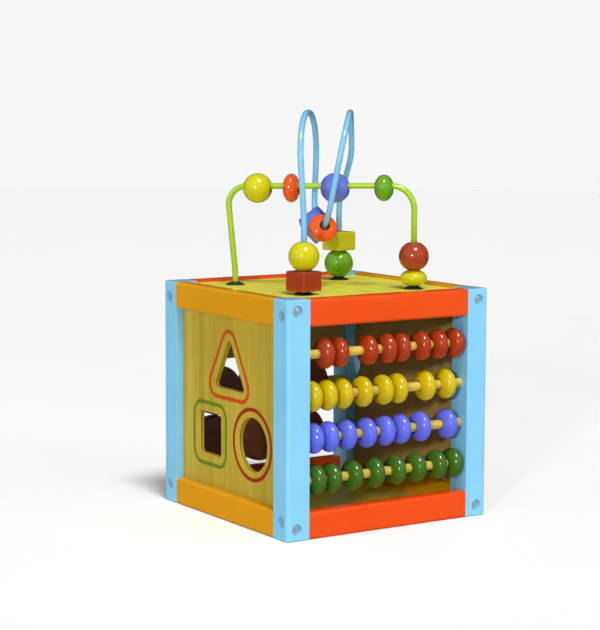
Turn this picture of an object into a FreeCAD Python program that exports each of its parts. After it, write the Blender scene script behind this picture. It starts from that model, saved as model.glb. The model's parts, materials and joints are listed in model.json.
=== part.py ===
import FreeCAD, Part
import math
import os

# Wooden activity cube: one wall sorts shapes, one is a bead abacus, one carries turning discs and
# one is a door, and a bead maze of two bent wires stands on the lid. Millimetres, +Z up, with the
# origin at the middle of the base. The abacus faces -Y and the sorting wall faces -X.

Vector = FreeCAD.Vector
UP = Vector(0, 0, 1)
SIDES = (-1, 1)

# The frame: four posts and eight rails, flush on the outside.
PLAN = 200.0
HALF = PLAN / 2
POST = 21.0
POST_HEIGHT = 194.0
POST_EDGE = 3.0
POST_END = 1.2
INNER = HALF - POST
RAIL_THICK = 12.0
RAIL_HIGH = 22.5
RAIL_EDGE = 2.6
RAIL_INSIDE_EDGE = 0.8
RAIL_FACE = HALF - RAIL_THICK
WINDOW_BOTTOM = RAIL_HIGH
WINDOW_TOP = POST_HEIGHT - RAIL_HIGH

# Thin boards, held in grooves of the frame. The base lies in a rebate, flush with the rails' feet.
BOARD = 5.0
GROOVE = 4.0
WALL_OUTSIDE = 93.0
LID_RECESS = 2.5
LID_TOP = POST_HEIGHT - LID_RECESS
BASE_BOARD = 4.0
HEADER_BOTTOM = 122.5

# The three holes of the sorting wall: centres along Y and Z, and sizes.
CIRCLE_AT = (-35.5, 68.4)
CIRCLE_RADIUS = 22.5
SQUARE_AT = (33.0, 67.8)
SQUARE_SIDE = 36.0
SQUARE_CORNER = 3.5
TRIANGLE_AT = (2.2, 124.3)
TRIANGLE_SIDE = 51.0
TRIANGLE_CORNER = 3.0
HOLE_EDGE = 0.8

# The door in the +X wall, hung on two dowel pins beside the front post.
DOOR_GAP = 1.0
DOOR_PIN_RADIUS = 2.0
DOOR_PIN_PLAY = 0.08
DOOR_PIN_LENGTH = 8.0
DOOR_PIN_ROOM = 0.5
DOOR_PIVOT = Vector(90.5, -71.0, 0)
NOTCH_RADIUS = 18.0
NOTCH_DEPTH = 8.0
NOTCH_HEIGHT = 112.0

# Screws: one pair near each end of each post, on both of its outer faces.
SCREW_INSET = 9.5
SCREW_SHANK = 1.75
SCREW_HEAD = 4.1
SCREW_DOME = 1.1
SCREW_LENGTH = 30.0
SCREW_WELL = 4.7
SCREW_WELL_DEPTH = 2.4
SCREW_HEIGHTS = {"y": (9.5, 184.5), "x": (15.3, 180.5)}

# Dowel rods, their rows, and what turns or slides on them.
ROD_RADIUS = 3.8
ROD_SEAT = 12.0
ROD_DEPTH = HALF - 10.5
ABACUS_ROWS = {"green": 46.0, "blue": 80.1, "yellow": 114.2, "red": 148.3}
ABACUS_BEADS = {
    "red": (-59.0, -45.1, -16.5, 2.4, 16.3, 37.0, 54.6, 72.0),
    "yellow": (-70.5, -56.0, -40.8, -21.0, -0.6, 14.0, 42.4, 63.6),
    "blue": (-69.0, -54.2, -37.0, -17.0, 1.4, 17.2, 37.8, 65.3),
    "green": (-66.4, -51.2, -30.3, -8.8, 12.8, 33.7, 55.1, 71.8),
}
BEAD_RADIUS = 12.6
BEAD_RIM = 5.2
BEAD_BULGE = 7.3
BEAD_LENGTH = 13.2
BEAD_HOLE = 4.2
DISC_ROWS = {"low": 50.0, "high": 94.8}
DISCS = {"low": (-56.0, -10.0, 36.0), "high": (-53.0, -7.5, 40.0)}
DISC_RADIUS = 22.0
DISC_THICK = 14.0
DISC_EDGE = 2.0

# The bead maze. Its points are (along, across, height): along runs from the front-left grommet to
# the back-right one, and across runs from the back-left grommet to the front-right one.
WIRE_RADIUS = 2.5
WIRE_FOOT = LID_TOP - BOARD - 2.0
WIRE_PLAY = 0.1
GROMMET_RADIUS = 8.6
GROMMET_HIGH = 3.2
GROMMET_FLAT = 0.3
ARCH_POINTS = [
    (0, -77.5, WIRE_FOOT), (0, -77.5, 203.0), (0, -85.0, 276.6), (0, 78.0, 279.0), (0, 78.0, WIRE_FOOT),
]
ARCH_BENDS = [100.0, 16.0, 20.0]
LOOP_TOP = 340.0
DIP_BOTTOM = 241.0
DIP_BEND = 24.0
LOOP_POINTS = [
    (-69.0, -2.6, WIRE_FOOT), (-69.0, -2.6, 252.0), (-69.0, -8.0, LOOP_TOP), (20.0, -9.5, LOOP_TOP),
    (21.0, -13.0, DIP_BOTTOM), (-24.0, 6.5, DIP_BOTTOM), (-27.0, 26.0, LOOP_TOP),
    (50.0, 14.0, LOOP_TOP), (63.0, 12.5, 303.0), (68.5, 0.4, 262.0), (68.5, 0.4, WIRE_FOOT),
]
LOOP_BENDS = [150.0, 43.0, 43.0, DIP_BEND, DIP_BEND, 40.0, 34.0, 60.0, 60.0]
DIP_FAR_BEND = 3
DIP_NEAR_BEND = 4

# Beads of the maze.
MAZE_HOLE = 4.3
MOUTH = 0.8
REST = 0.1
BALL_RADIUS = 12.7
BALL_LENGTH = 23.4
FLAT_BEAD_RADII = {"yellow": 11.3, "orange": 12.2}
FLAT_BEAD_RIM = 5.2
FLAT_BEAD_BULGE = 7.3
FLAT_BEAD_LENGTH = 13.0
OVAL_RADIUS = 11.2
OVAL_RIM = 6.8
OVAL_BULGE = 8.4
OVAL_LENGTH = 15.0
BLOCK_SIDE = 21.4
BLOCK_LENGTH = 16.6
BLOCK_EDGE = 1.4
BLOCK_TURN = 12.0
ARCH_BEADS = {"yellow_ball": -57.8, "orange_bead": -28.2, "violet_ball": 9.8, "green_oval": 51.9}
# Beads of the dip: the bend each lies on, its turn from the bend's lowest point, how far its middle
# lies outside the wire's, and its own turn about the wire.
DIP_BEADS = {
    "orange_bead": (DIP_NEAR_BEND, 25.0, 0.5, 0.0),
    "violet_block": (DIP_FAR_BEND, -29.0, 0.2, 45.0),
}


def block(low, high):
    """A box between two corners."""
    low, high = Vector(*low), Vector(*high)
    size = high - low
    return Part.makeBox(size.x, size.y, size.z, low)


def rod(radius, start, direction, length):
    return Part.makeCylinder(radius, length, start, direction)


def save(name, *solids):
    shape = solids[0] if len(solids) == 1 else Part.makeCompound(list(solids))
    shape.exportStep(f"parts/{name}.step")


def rounded(shape, radius, wanted):
    """The shape with every straight edge that wanted(middle, direction) picks rounded off."""
    edges = []
    for edge in shape.Edges:
        if isinstance(edge.Curve, (Part.Line, Part.LineSegment)):
            direction = edge.tangentAt(edge.FirstParameter)
            if wanted(edge.CenterOfMass, direction):
                edges.append(edge)
    return shape.makeFillet(radius, edges)


def full_circles(shape, radius):
    """The shape's edges that are whole circles of this radius."""
    return [edge for edge in shape.Edges if abs(edge.Length - 2 * math.pi * radius) < 1e-3]


def cut_all(shape, tools):
    for tool in tools:
        shape = shape.cut(tool)
    return shape


def stand(shape, centre, axis, turn=0.0):
    """Turns a piece made about Z by turn degrees, tips its Z to axis and moves it to centre."""
    shape = shape.copy()
    shape.rotate(Vector(), UP, turn)
    shape.Placement = FreeCAD.Placement(centre, FreeCAD.Rotation(UP, axis)).multiply(shape.Placement)
    return shape


def maze_point(along, across, height):
    """A point of the maze in the cube's own axes."""
    half_root = math.sqrt(0.5)
    return Vector((along + across) * half_root, (along - across) * half_root, height)


# ---- frame -------------------------------------------------------------------------------------

def corner_post(side_x, side_y):
    post = block((INNER, INNER, 0), (HALF, HALF, POST_HEIGHT))
    post = rounded(post, POST_EDGE, lambda at, run: abs(run.z) > 0.9 and at.x + at.y > 2 * HALF - 1)
    post = rounded(post, POST_END, lambda at, run: abs(run.z) < 0.1 and max(at.x, at.y) > HALF - 1)
    if side_x < 0:
        post = post.mirror(Vector(), Vector(1, 0, 0))
    if side_y < 0:
        post = post.mirror(Vector(), Vector(0, 1, 0))
    return post


def rail(bottom, turns):
    """A rail made at the -Y face and turned by quarter turns about Z."""
    shape = block((-INNER, -HALF, bottom), (INNER, -RAIL_FACE, bottom + RAIL_HIGH))
    shape = rounded(shape, RAIL_EDGE, lambda at, run: abs(run.x) > 0.9 and at.y < -HALF + 1)
    shape = rounded(shape, RAIL_INSIDE_EDGE, lambda at, run: abs(run.x) > 0.9 and at.y > -RAIL_FACE - 1)
    shape.rotate(Vector(), UP, 90.0 * turns)
    return shape


def level_board(bottom, thick):
    """A board across the whole cube, let into the rails and notched round the posts."""
    reach = RAIL_FACE + GROOVE
    board = block((-reach, -reach, bottom), (reach, reach, bottom + thick))
    for side_x in SIDES:
        for side_y in SIDES:
            notch = block((INNER, INNER, 0), (HALF, HALF, POST_HEIGHT))
            notch.translate(Vector(min(side_x, 0) * (INNER + HALF), min(side_y, 0) * (INNER + HALF), 0))
            board = board.cut(notch)
    return board


def bends_of(points, radii):
    """The bends of a path as (first, centre, last, axis). The path turns about axis at each centre."""
    bends = []
    for before, corner, after, radius in zip(points, points[1:], points[2:], radii):
        back = (before - corner).normalize()
        ahead = (after - corner).normalize()
        half_angle = back.getAngle(ahead) / 2
        reach = radius / math.tan(half_angle)
        centre = corner + (back + ahead).normalize() * (radius / math.sin(half_angle))
        bends.append((corner + back * reach, centre, corner + ahead * reach, ahead.cross(back).normalize()))
    return bends


def rounded_triangle(side, corner):
    """The outline of an equilateral triangle about the origin of the YZ plane, point up."""
    drop = side / (2 * math.sqrt(3))
    left, right, top = Vector(0, -side / 2, -drop), Vector(0, side / 2, -drop), Vector(0, 0, 2 * drop)
    middle = (left + right) * 0.5
    edges = []
    start = middle
    for first, centre, last, _ in bends_of([middle, right, top, left, middle], [corner] * 3):
        outward = (first + last - centre * 2).normalize()
        edges.append(Part.LineSegment(start, first).toShape())
        edges.append(Part.Arc(first, centre + outward * corner, last).toShape())
        start = last
    edges.append(Part.LineSegment(start, middle).toShape())
    return Part.Wire(edges)


def sorting_holes():
    """The circle, square and triangle cutters, through the -X wall."""
    start = -WALL_OUTSIDE - 1
    depth = BOARD + 2
    circle = rod(CIRCLE_RADIUS, Vector(start, *CIRCLE_AT), Vector(1, 0, 0), depth)
    half = SQUARE_SIDE / 2
    y, z = SQUARE_AT
    square = block((start, y - half, z - half), (start + depth, y + half, z + half))
    square = rounded(square, SQUARE_CORNER, lambda at, run: abs(run.x) > 0.9)
    outline = rounded_triangle(TRIANGLE_SIDE, TRIANGLE_CORNER)
    outline.translate(Vector(start, *TRIANGLE_AT))
    triangle = Part.Face(outline).extrude(Vector(depth, 0, 0))
    return [circle, square, triangle]


def wall_board(bottom):
    """An upright board at the +Y wall, let into both posts and the top rail above it."""
    low = bottom if bottom > WINDOW_BOTTOM else WINDOW_BOTTOM - GROOVE
    reach = INNER + GROOVE
    return block((-reach, WALL_OUTSIDE - BOARD, low), (reach, WALL_OUTSIDE, WINDOW_TOP + GROOVE))


def sorter_panel():
    board = wall_board(WINDOW_BOTTOM)
    board.rotate(Vector(), UP, 90)
    board = cut_all(board, sorting_holes())
    rims = []
    for edge in board.Edges:
        middle = edge.CenterOfMass
        inside = abs(middle.y) < INNER - 5 and WINDOW_BOTTOM + 5 < middle.z < WINDOW_TOP - 5
        if inside and abs(middle.x + WALL_OUTSIDE) < 0.01:
            rims.append(edge)
    return board.makeFillet(HOLE_EDGE, rims)


def door_pins(radius, length):
    """Two upright pins, one into each right-hand rail."""
    bottom = WINDOW_BOTTOM + DOOR_GAP
    top = WINDOW_TOP - DOOR_GAP
    return [
        rod(radius, DOOR_PIVOT + UP * (bottom - length), UP, length),
        rod(radius, DOOR_PIVOT + UP * top, UP, length),
    ]


def side_door():
    board = block(
        (WALL_OUTSIDE - BOARD, -INNER + DOOR_GAP, WINDOW_BOTTOM + DOOR_GAP),
        (WALL_OUTSIDE, INNER - DOOR_GAP, WINDOW_TOP - DOOR_GAP),
    )
    board = rounded(board, 1.0, lambda at, run: abs(at.y) > INNER - DOOR_GAP - 1 and abs(run.z) > 0.9)
    beyond = INNER - DOOR_GAP + NOTCH_RADIUS - NOTCH_DEPTH
    start = Vector(WALL_OUTSIDE - BOARD - 1, beyond, NOTCH_HEIGHT)
    board = board.cut(rod(NOTCH_RADIUS, start, Vector(1, 0, 0), BOARD + 2))
    for pin in door_pins(DOOR_PIN_RADIUS, DOOR_PIN_LENGTH):
        board = board.fuse(pin)
    return board.removeSplitter()


def screw_places():
    """The middle of each screw well on the frame's faces, with the way the screw is driven."""
    places = []
    across = HALF - SCREW_INSET
    for side_x in SIDES:
        for side_y in SIDES:
            for height in SCREW_HEIGHTS["y"]:
                places.append((Vector(side_x * across, side_y * HALF, height), Vector(0, -side_y, 0)))
            for height in SCREW_HEIGHTS["x"]:
                places.append((Vector(side_x * HALF, side_y * across, height), Vector(-side_x, 0, 0)))
    return places


def screw(place, inward):
    """A pan-headed screw whose head sits in its well, with a cross slot."""
    seat = place + inward * SCREW_WELL_DEPTH
    shank = rod(SCREW_SHANK, seat, inward, SCREW_LENGTH)
    sphere_radius = (SCREW_HEAD ** 2 + SCREW_DOME ** 2) / (2 * SCREW_DOME)
    ball = Part.makeSphere(sphere_radius, seat + inward * (sphere_radius - SCREW_DOME))
    head = ball.common(rod(SCREW_HEAD, seat - inward * SCREW_DOME * 2, inward, SCREW_DOME * 2))
    slot = block((-2.2, -0.35, -0.6), (2.2, 0.35, 0.6))
    crossed = slot.fuse(slot.copy().rotate(Vector(), UP, 90))
    crossed = stand(crossed, seat - inward * SCREW_DOME, inward, 45.0)
    return head.fuse(shank).cut(crossed).removeSplitter()


def screw_bore(place, inward):
    well = rod(SCREW_WELL, place - inward, inward, SCREW_WELL_DEPTH + 1)
    return well.fuse(rod(SCREW_SHANK, place, inward, SCREW_WELL_DEPTH + SCREW_LENGTH))


# ---- what slides and turns ---------------------------------------------------------------------

def turned(edges):
    """A closed outline in the XZ plane, turned about Z."""
    return Part.Face(Part.Wire(edges)).revolve(Vector(), UP, 360)


def line(start, end):
    return Part.LineSegment(Vector(start[0], 0, start[1]), Vector(end[0], 0, end[1])).toShape()


def bored_outline(outer_edges, end_radius, half, hole):
    """Closes an outer outline with countersunk mouths and a bore, and turns it."""
    inside = half - MOUTH
    edges = [line((hole, -inside), (end_radius, -half))] + outer_edges
    edges += [line((end_radius, half), (hole, inside)), line((hole, inside), (hole, -inside))]
    return turned(edges)


def round_bead(radius, rim, bulge, length, hole):
    """A flattened bead: a rim of small radius between two domes bulge from its middle, cut off square."""
    half = length / 2
    rim_centre = Vector(radius - rim, 0, 0)
    dome = (rim_centre.x ** 2 + bulge ** 2 - rim ** 2) / (2 * (bulge - rim))
    dome_centre = Vector(0, 0, bulge - dome)
    end = Vector(math.sqrt(dome ** 2 - (half - dome_centre.z) ** 2), 0, half)
    away = (rim_centre - dome_centre).normalize()
    join = rim_centre + away * rim
    middle = dome_centre + (end - dome_centre + away * dome).normalize() * dome

    def below(point):
        return Vector(point.x, 0, -point.z)

    sides = [
        Part.Arc(below(end), below(middle), below(join)).toShape(),
        Part.Arc(below(join), Vector(radius, 0, 0), join).toShape(),
        Part.Arc(join, middle, end).toShape(),
    ]
    return bored_outline(sides, end.x, half, hole)


def ball():
    half = BALL_LENGTH / 2
    end = math.sqrt(BALL_RADIUS ** 2 - half ** 2)
    side = Part.Arc(Vector(end, 0, -half), Vector(BALL_RADIUS, 0, 0), Vector(end, 0, half)).toShape()
    return bored_outline([side], end, half, MAZE_HOLE)


def flat_bead(colour):
    radius = FLAT_BEAD_RADII[colour]
    return round_bead(radius, FLAT_BEAD_RIM, FLAT_BEAD_BULGE, FLAT_BEAD_LENGTH, MAZE_HOLE)


def oval_bead():
    return round_bead(OVAL_RADIUS, OVAL_RIM, OVAL_BULGE, OVAL_LENGTH, MAZE_HOLE)


def square_block():
    half = BLOCK_SIDE / 2
    high = BLOCK_LENGTH / 2
    body = block((-half, -half, -high), (half, half, high))
    body = body.makeFillet(BLOCK_EDGE, body.Edges)
    bore = rod(MAZE_HOLE, Vector(0, 0, -high - 1), UP, BLOCK_LENGTH + 2)
    body = body.cut(bore)
    return body.makeChamfer(MOUTH, full_circles(body, MAZE_HOLE))


def disc():
    """A flat disc that faces the Y axis, bored along X for its rod."""
    shape = rod(DISC_RADIUS, Vector(0, -DISC_THICK / 2, 0), Vector(0, 1, 0), DISC_THICK)
    shape = shape.makeFillet(DISC_EDGE, full_circles(shape, DISC_RADIUS))
    return shape.cut(rod(BEAD_HOLE, Vector(-HALF, 0, 0), Vector(1, 0, 0), PLAN))


def dowel_rods():
    places = [(-ROD_DEPTH, height) for height in ABACUS_ROWS.values()]
    places += [(ROD_DEPTH, height) for height in DISC_ROWS.values()]
    reach = INNER + ROD_SEAT
    return [rod(ROD_RADIUS, Vector(-reach, y, z), Vector(1, 0, 0), 2 * reach) for y, z in places]


# ---- bead maze ---------------------------------------------------------------------------------

def bent_wire(points, radii):
    """A round wire of straight rods and bends, with its volume compared with section times length."""
    points = [maze_point(*point) for point in points]
    pieces = []
    length = 0.0
    start = points[0]
    for first, centre, last, axis in bends_of(points, radii):
        run = first - start
        turn = (first - centre).getAngle(last - centre)
        ring = Part.Face(Part.Wire(Part.Circle(first, run, WIRE_RADIUS).toShape()))
        pieces += [rod(WIRE_RADIUS, start, run, run.Length), ring.revolve(centre, axis, math.degrees(turn))]
        length += run.Length + turn * (first - centre).Length
        start = last
    run = points[-1] - start
    pieces.append(rod(WIRE_RADIUS, start, run, run.Length))
    length += run.Length
    wire = pieces[0].fuse(pieces[1:]).removeSplitter()
    ratio = wire.Volume / (math.pi * WIRE_RADIUS ** 2 * length)
    print(f"wire length {length:.1f} mm, {len(wire.Solids)} solid, volume ratio {ratio:.4f}")
    return wire.Solids[0]


def wire_feet():
    feet = [ARCH_POINTS[0], ARCH_POINTS[-1], LOOP_POINTS[0], LOOP_POINTS[-1]]
    return [maze_point(along, across, LID_TOP) for along, across, _ in feet]


def grommet(foot):
    """A domed cap on the lid, bored for its wire."""
    sphere_radius = (GROMMET_RADIUS ** 2 + GROMMET_HIGH ** 2) / (2 * GROMMET_HIGH)
    dome = Part.makeSphere(sphere_radius, foot + UP * (GROMMET_HIGH - sphere_radius))
    cap = dome.common(rod(GROMMET_RADIUS, foot, UP, GROMMET_HIGH - GROMMET_FLAT))
    return cap.cut(rod(WIRE_RADIUS + WIRE_PLAY, foot - UP, UP, GROMMET_HIGH + 2))


def maze_beads():
    """Every bead of the maze in its place, by node name."""
    beads = {}
    left, right = (maze_point(*point) for point in ARCH_POINTS[2:4])
    bar = (right - left).normalize()
    hang = MAZE_HOLE - WIRE_RADIUS - WIRE_PLAY / 2
    shapes = (ball(), flat_bead("orange"), ball(), oval_bead())
    for (name, place), shape in zip(ARCH_BEADS.items(), shapes):
        on_bar = left + bar * (place - ARCH_POINTS[2][1])
        beads[f"arch_{name}"] = stand(shape, on_bar - UP * hang, bar)

    seat = LID_TOP + GROMMET_HIGH - GROMMET_FLAT + REST
    flat = ("arch_yellow_bead", flat_bead("yellow"), FLAT_BEAD_LENGTH)
    stacks = (
        (ARCH_POINTS[-1], flat, ("arch_red_ball", ball(), BALL_LENGTH)),
        (LOOP_POINTS[0], ("loop_red_block", square_block(), BLOCK_LENGTH),
         ("loop_yellow_ball", ball(), BALL_LENGTH)),
        (LOOP_POINTS[-1], ("loop_green_ball", ball(), BALL_LENGTH),
         ("loop_yellow_block", square_block(), BLOCK_LENGTH)),
    )
    for foot, *pile in stacks:
        bottom = seat
        for name, shape, length in pile:
            centre = maze_point(foot[0], foot[1], bottom + length / 2)
            beads[name] = stand(shape, centre, UP, BLOCK_TURN)
            bottom += length + REST

    bends = bends_of([maze_point(*point) for point in LOOP_POINTS], LOOP_BENDS)
    shapes = (flat_bead("orange"), square_block())
    for (name, (bend, turn, sag, own_turn)), shape in zip(DIP_BEADS.items(), shapes):
        _, hub, _, axis = bends[bend]
        lowest = (axis * axis.z - UP).normalize()
        outward = FreeCAD.Rotation(axis, turn).multVec(lowest)
        along = axis.cross(outward)
        print(f"{name} swings about {hub * 1.0} on {axis * 1.0}")
        beads[f"loop_{name}"] = aimed(shape, hub + outward * (DIP_BEND + sag), along, outward, own_turn)
    return beads


def aimed(shape, centre, along, outward, turn):
    """Puts a piece's Z along the wire and its X outward, turned about the wire."""
    side = along.cross(outward)
    frame = FreeCAD.Matrix(
        outward.x, side.x, along.x, centre.x, outward.y, side.y, along.y, centre.y,
        outward.z, side.z, along.z, centre.z, 0, 0, 0, 1,
    )
    shape = shape.copy()
    shape.rotate(Vector(), UP, turn)
    shape.Placement = FreeCAD.Placement(frame).multiply(shape.Placement)
    return shape


# ---- the whole cube ----------------------------------------------------------------------------

def main():
    os.makedirs("parts", exist_ok=True)

    lid = level_board(LID_TOP - BOARD, BOARD)
    base = level_board(0, BASE_BOARD)
    header = wall_board(HEADER_BOTTOM)
    panel = sorter_panel()
    panel_blank = wall_board(WINDOW_BOTTOM)
    panel_blank.rotate(Vector(), UP, 90)
    rods = dowel_rods()
    bores = [screw_bore(*place) for place in screw_places()]
    pin_bores = door_pins(DOOR_PIN_RADIUS + DOOR_PIN_PLAY, DOOR_PIN_LENGTH + DOOR_PIN_ROOM)
    boards = [lid, base, header, panel_blank]

    posts = [corner_post(x, y) for x in SIDES for y in SIDES]
    save("corner_posts", *[cut_all(post, [header, panel_blank] + rods + bores) for post in posts])
    for name, first_turn in (("red_rails", 0), ("yellow_rails", 1)):
        rails = [rail(bottom, first_turn + 2 * i) for i in (0, 1) for bottom in (0, WINDOW_TOP)]
        save(name, *[cut_all(piece, boards + bores + pin_bores) for piece in rails])

    hole = WIRE_RADIUS + WIRE_PLAY
    wire_holes = [rod(hole, foot - UP * (BOARD + 1), UP, BOARD + 2) for foot in wire_feet()]
    save("plywood_boards", cut_all(lid, wire_holes), base, header)
    save("sorter_panel", panel)
    save("side_door", side_door())
    save("dowel_rods", *rods)
    save("frame_screws", *[screw(*place) for place in screw_places()])
    save("maze_wires", bent_wire(ARCH_POINTS, ARCH_BENDS), bent_wire(LOOP_POINTS, LOOP_BENDS))
    save("wire_grommets", *[grommet(foot) for foot in wire_feet()])

    bead = round_bead(BEAD_RADIUS, BEAD_RIM, BEAD_BULGE, BEAD_LENGTH, BEAD_HOLE)
    for colour, height in ABACUS_ROWS.items():
        for number, x in enumerate(ABACUS_BEADS[colour], 1):
            save(f"{colour}_bead_{number}", stand(bead, Vector(x, -ROD_DEPTH, height), Vector(1, 0, 0)))
    for row, height in DISC_ROWS.items():
        for number, x in enumerate(DISCS[row], 1):
            save(f"turning_disc_{row}_{number}", stand(disc(), Vector(x, ROD_DEPTH, height), UP))
    for name, shape in maze_beads().items():
        save(name, shape)


main()
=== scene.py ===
"""Looks of the wooden activity cube, laid out as a Blender add-on and run as a script.

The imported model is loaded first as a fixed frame. Each operator finishes one group of pieces in
the frame's own metres: +Z up, the abacus at -Y, the sorting wall at -X.
"""

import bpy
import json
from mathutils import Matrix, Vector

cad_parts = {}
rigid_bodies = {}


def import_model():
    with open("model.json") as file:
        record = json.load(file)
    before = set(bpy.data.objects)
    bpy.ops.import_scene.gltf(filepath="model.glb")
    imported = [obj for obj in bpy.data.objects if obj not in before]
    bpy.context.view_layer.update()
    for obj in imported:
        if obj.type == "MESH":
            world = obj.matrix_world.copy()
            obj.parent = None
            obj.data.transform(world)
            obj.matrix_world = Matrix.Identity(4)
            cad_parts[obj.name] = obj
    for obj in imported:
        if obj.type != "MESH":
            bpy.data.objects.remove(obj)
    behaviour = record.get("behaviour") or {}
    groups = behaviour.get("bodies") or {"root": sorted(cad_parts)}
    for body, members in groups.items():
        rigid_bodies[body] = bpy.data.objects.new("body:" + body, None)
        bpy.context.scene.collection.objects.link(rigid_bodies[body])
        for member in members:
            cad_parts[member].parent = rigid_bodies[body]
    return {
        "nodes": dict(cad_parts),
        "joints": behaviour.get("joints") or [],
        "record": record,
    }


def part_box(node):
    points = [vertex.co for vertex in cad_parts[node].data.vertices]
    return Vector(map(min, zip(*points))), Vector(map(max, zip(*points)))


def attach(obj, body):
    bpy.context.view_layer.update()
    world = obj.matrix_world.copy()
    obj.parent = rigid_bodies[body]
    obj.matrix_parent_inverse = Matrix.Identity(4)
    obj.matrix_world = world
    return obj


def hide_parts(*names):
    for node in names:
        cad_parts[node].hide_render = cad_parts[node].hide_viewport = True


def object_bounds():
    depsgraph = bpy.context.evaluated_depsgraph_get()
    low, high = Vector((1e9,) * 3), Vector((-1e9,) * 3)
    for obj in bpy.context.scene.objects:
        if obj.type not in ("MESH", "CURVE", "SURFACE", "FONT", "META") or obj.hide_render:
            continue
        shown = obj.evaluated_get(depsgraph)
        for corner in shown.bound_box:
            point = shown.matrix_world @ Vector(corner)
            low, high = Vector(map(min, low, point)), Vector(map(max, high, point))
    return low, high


bl_info = {
    "name": "Activity Cube",
    "version": (1, 0, 0),
    "blender": (4, 5, 0),
    "location": "View3D > Sidebar > Activity Cube",
    "description": "Paints, boards, wires and studio for a wooden activity cube",
    "category": "Object",
}

import json
import math

import bmesh
import bpy
from mathutils import Matrix, Vector

# Blender's start-up cube, lamp and camera would count in the bounds.
for leftover in list(bpy.data.objects):
    bpy.data.objects.remove(leftover)

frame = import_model()
CAD_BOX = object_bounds()

NODES = frame["nodes"]
RECORD = frame["record"]
ROOT = "cube_frame"
MM = 0.001
ROOT_HALF = math.sqrt(0.5)
OPENINGS = {hole["name"]: hole["box_m"] for hole in RECORD["physics"]["openings"]}

# Holes of the sorting wall. The square's flat is half a side without its rounded corner, and the
# triangle's core is the sharp triangle that its edge runs round, one corner radius away.
CIRCLE_RADIUS = 22.5 * MM
SQUARE_FLAT = 14.5 * MM
SQUARE_CORNER = 3.5 * MM
TRIANGLE_CORNER = 3.0 * MM
TRIANGLE_CORE_HALF = 20.3 * MM
TRIANGLE_OPENING_INSET = 0.9 * MM

# Radii of the painted shade in the bead bores, a little wider than the real bores, so that the
# bore walls take it.
ABACUS_BORE_SHADE = 4.35 * MM
MAZE_BORE_SHADE = 4.45 * MM
BORE_SHADE_FADE = 0.3 * MM

# The ring and the dot printed on each turning disc.
DISC_PRINT_RADII = (16.2 * MM, 0.0)
DISC_PRINT_WIDTH = 6.4 * MM

# Between these distances from the foot of the base and the top of the lid, a board is the header.
BASE_CLEAR = 10 * MM
LID_CLEAR = 10 * MM

# How high the finest relief of each finish stands.
PAINT_RELIEF = 0.12 * MM
BOARD_RELIEF = 0.12 * MM
ROD_RELIEF = 0.10 * MM
BEAD_RELIEF = 0.05 * MM
WIRE_RELIEF = 0.04 * MM
RUBBER_RELIEF = 0.08 * MM
SCREW_RELIEF = 0.03 * MM

# How the grain stretches: small along the fibres, 1 across them.
GRAIN_ALONG_X = (0.05, 1, 1)
GRAIN_ALONG_Y = (1, 0.05, 1)
GRAIN_ALONG_Z = (1, 1, 0.05)

# The maze's wires in millimetres: along one diagonal of the lid, across it, and up. FOOT and
# TOP stand for the lowest and highest centre of the wires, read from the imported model.
FOOT, TOP = "foot", "top"
ARCH_ROUTE = (
    (0, -77.5, FOOT), (0, -77.5, 203.0), (0, -85.0, 276.6), (0, 78.0, 279.0), (0, 78.0, FOOT),
)
ARCH_BENDS = (100.0, 16.0, 20.0)
LOOP_ROUTE = (
    (-69.0, -2.6, FOOT), (-69.0, -2.6, 252.0), (-69.0, -8.0, TOP), (20.0, -9.5, TOP),
    (21.0, -13.0, 241.0), (-24.0, 6.5, 241.0), (-27.0, 26.0, TOP), (50.0, 14.0, TOP),
    (63.0, 12.5, 303.0), (68.5, 0.4, 262.0), (68.5, 0.4, FOOT),
)
LOOP_BENDS = (150.0, 43.0, 43.0, 24.0, 24.0, 40.0, 34.0, 60.0, 60.0)

# The floor's gap under the cube's feet, its colour, and its own glow for the camera.
FLOOR_GAP = 0.2 * MM
FLOOR_COLOUR = (0.96, 0.96, 0.95)
FLOOR_LIFT = 0.045

# Lamps: name, place from the cube's middle, kind, angle or size, and energy.
LAMPS = (
    ("key_sun", (-1.50, -1.20, 0.38), "SUN", math.radians(4), 1.10),
    ("top_sun", (-0.22, -1.00, 1.90), "SUN", math.radians(16), 2.50),
    ("side_fill", (-2.2, 0.2, 0.8), "AREA", 1.4, 3.5),
    ("right_sparkle", (1.1, -1.9, 0.9), "AREA", 0.22, 3.5),
)


def srgb(red, green, blue):
    """A display colour, 0 to 255 a channel, as the linear colour that shaders take."""
    def linear(value):
        value /= 255
        return value / 12.92 if value <= 0.04045 else ((value + 0.055) / 1.055) ** 2.4
    return tuple(linear(value) for value in (red, green, blue))


# ---- what a user would change -------------------------------------------------------------------

def colour_property(name, description, default):
    return bpy.props.FloatVectorProperty(
        name=name, description=description, default=default, size=3, min=0, max=1, subtype="COLOR"
    )


def length_property(name, description, default):
    return bpy.props.FloatProperty(
        name=name, description=description, default=default, min=0, unit="LENGTH"
    )


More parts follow.
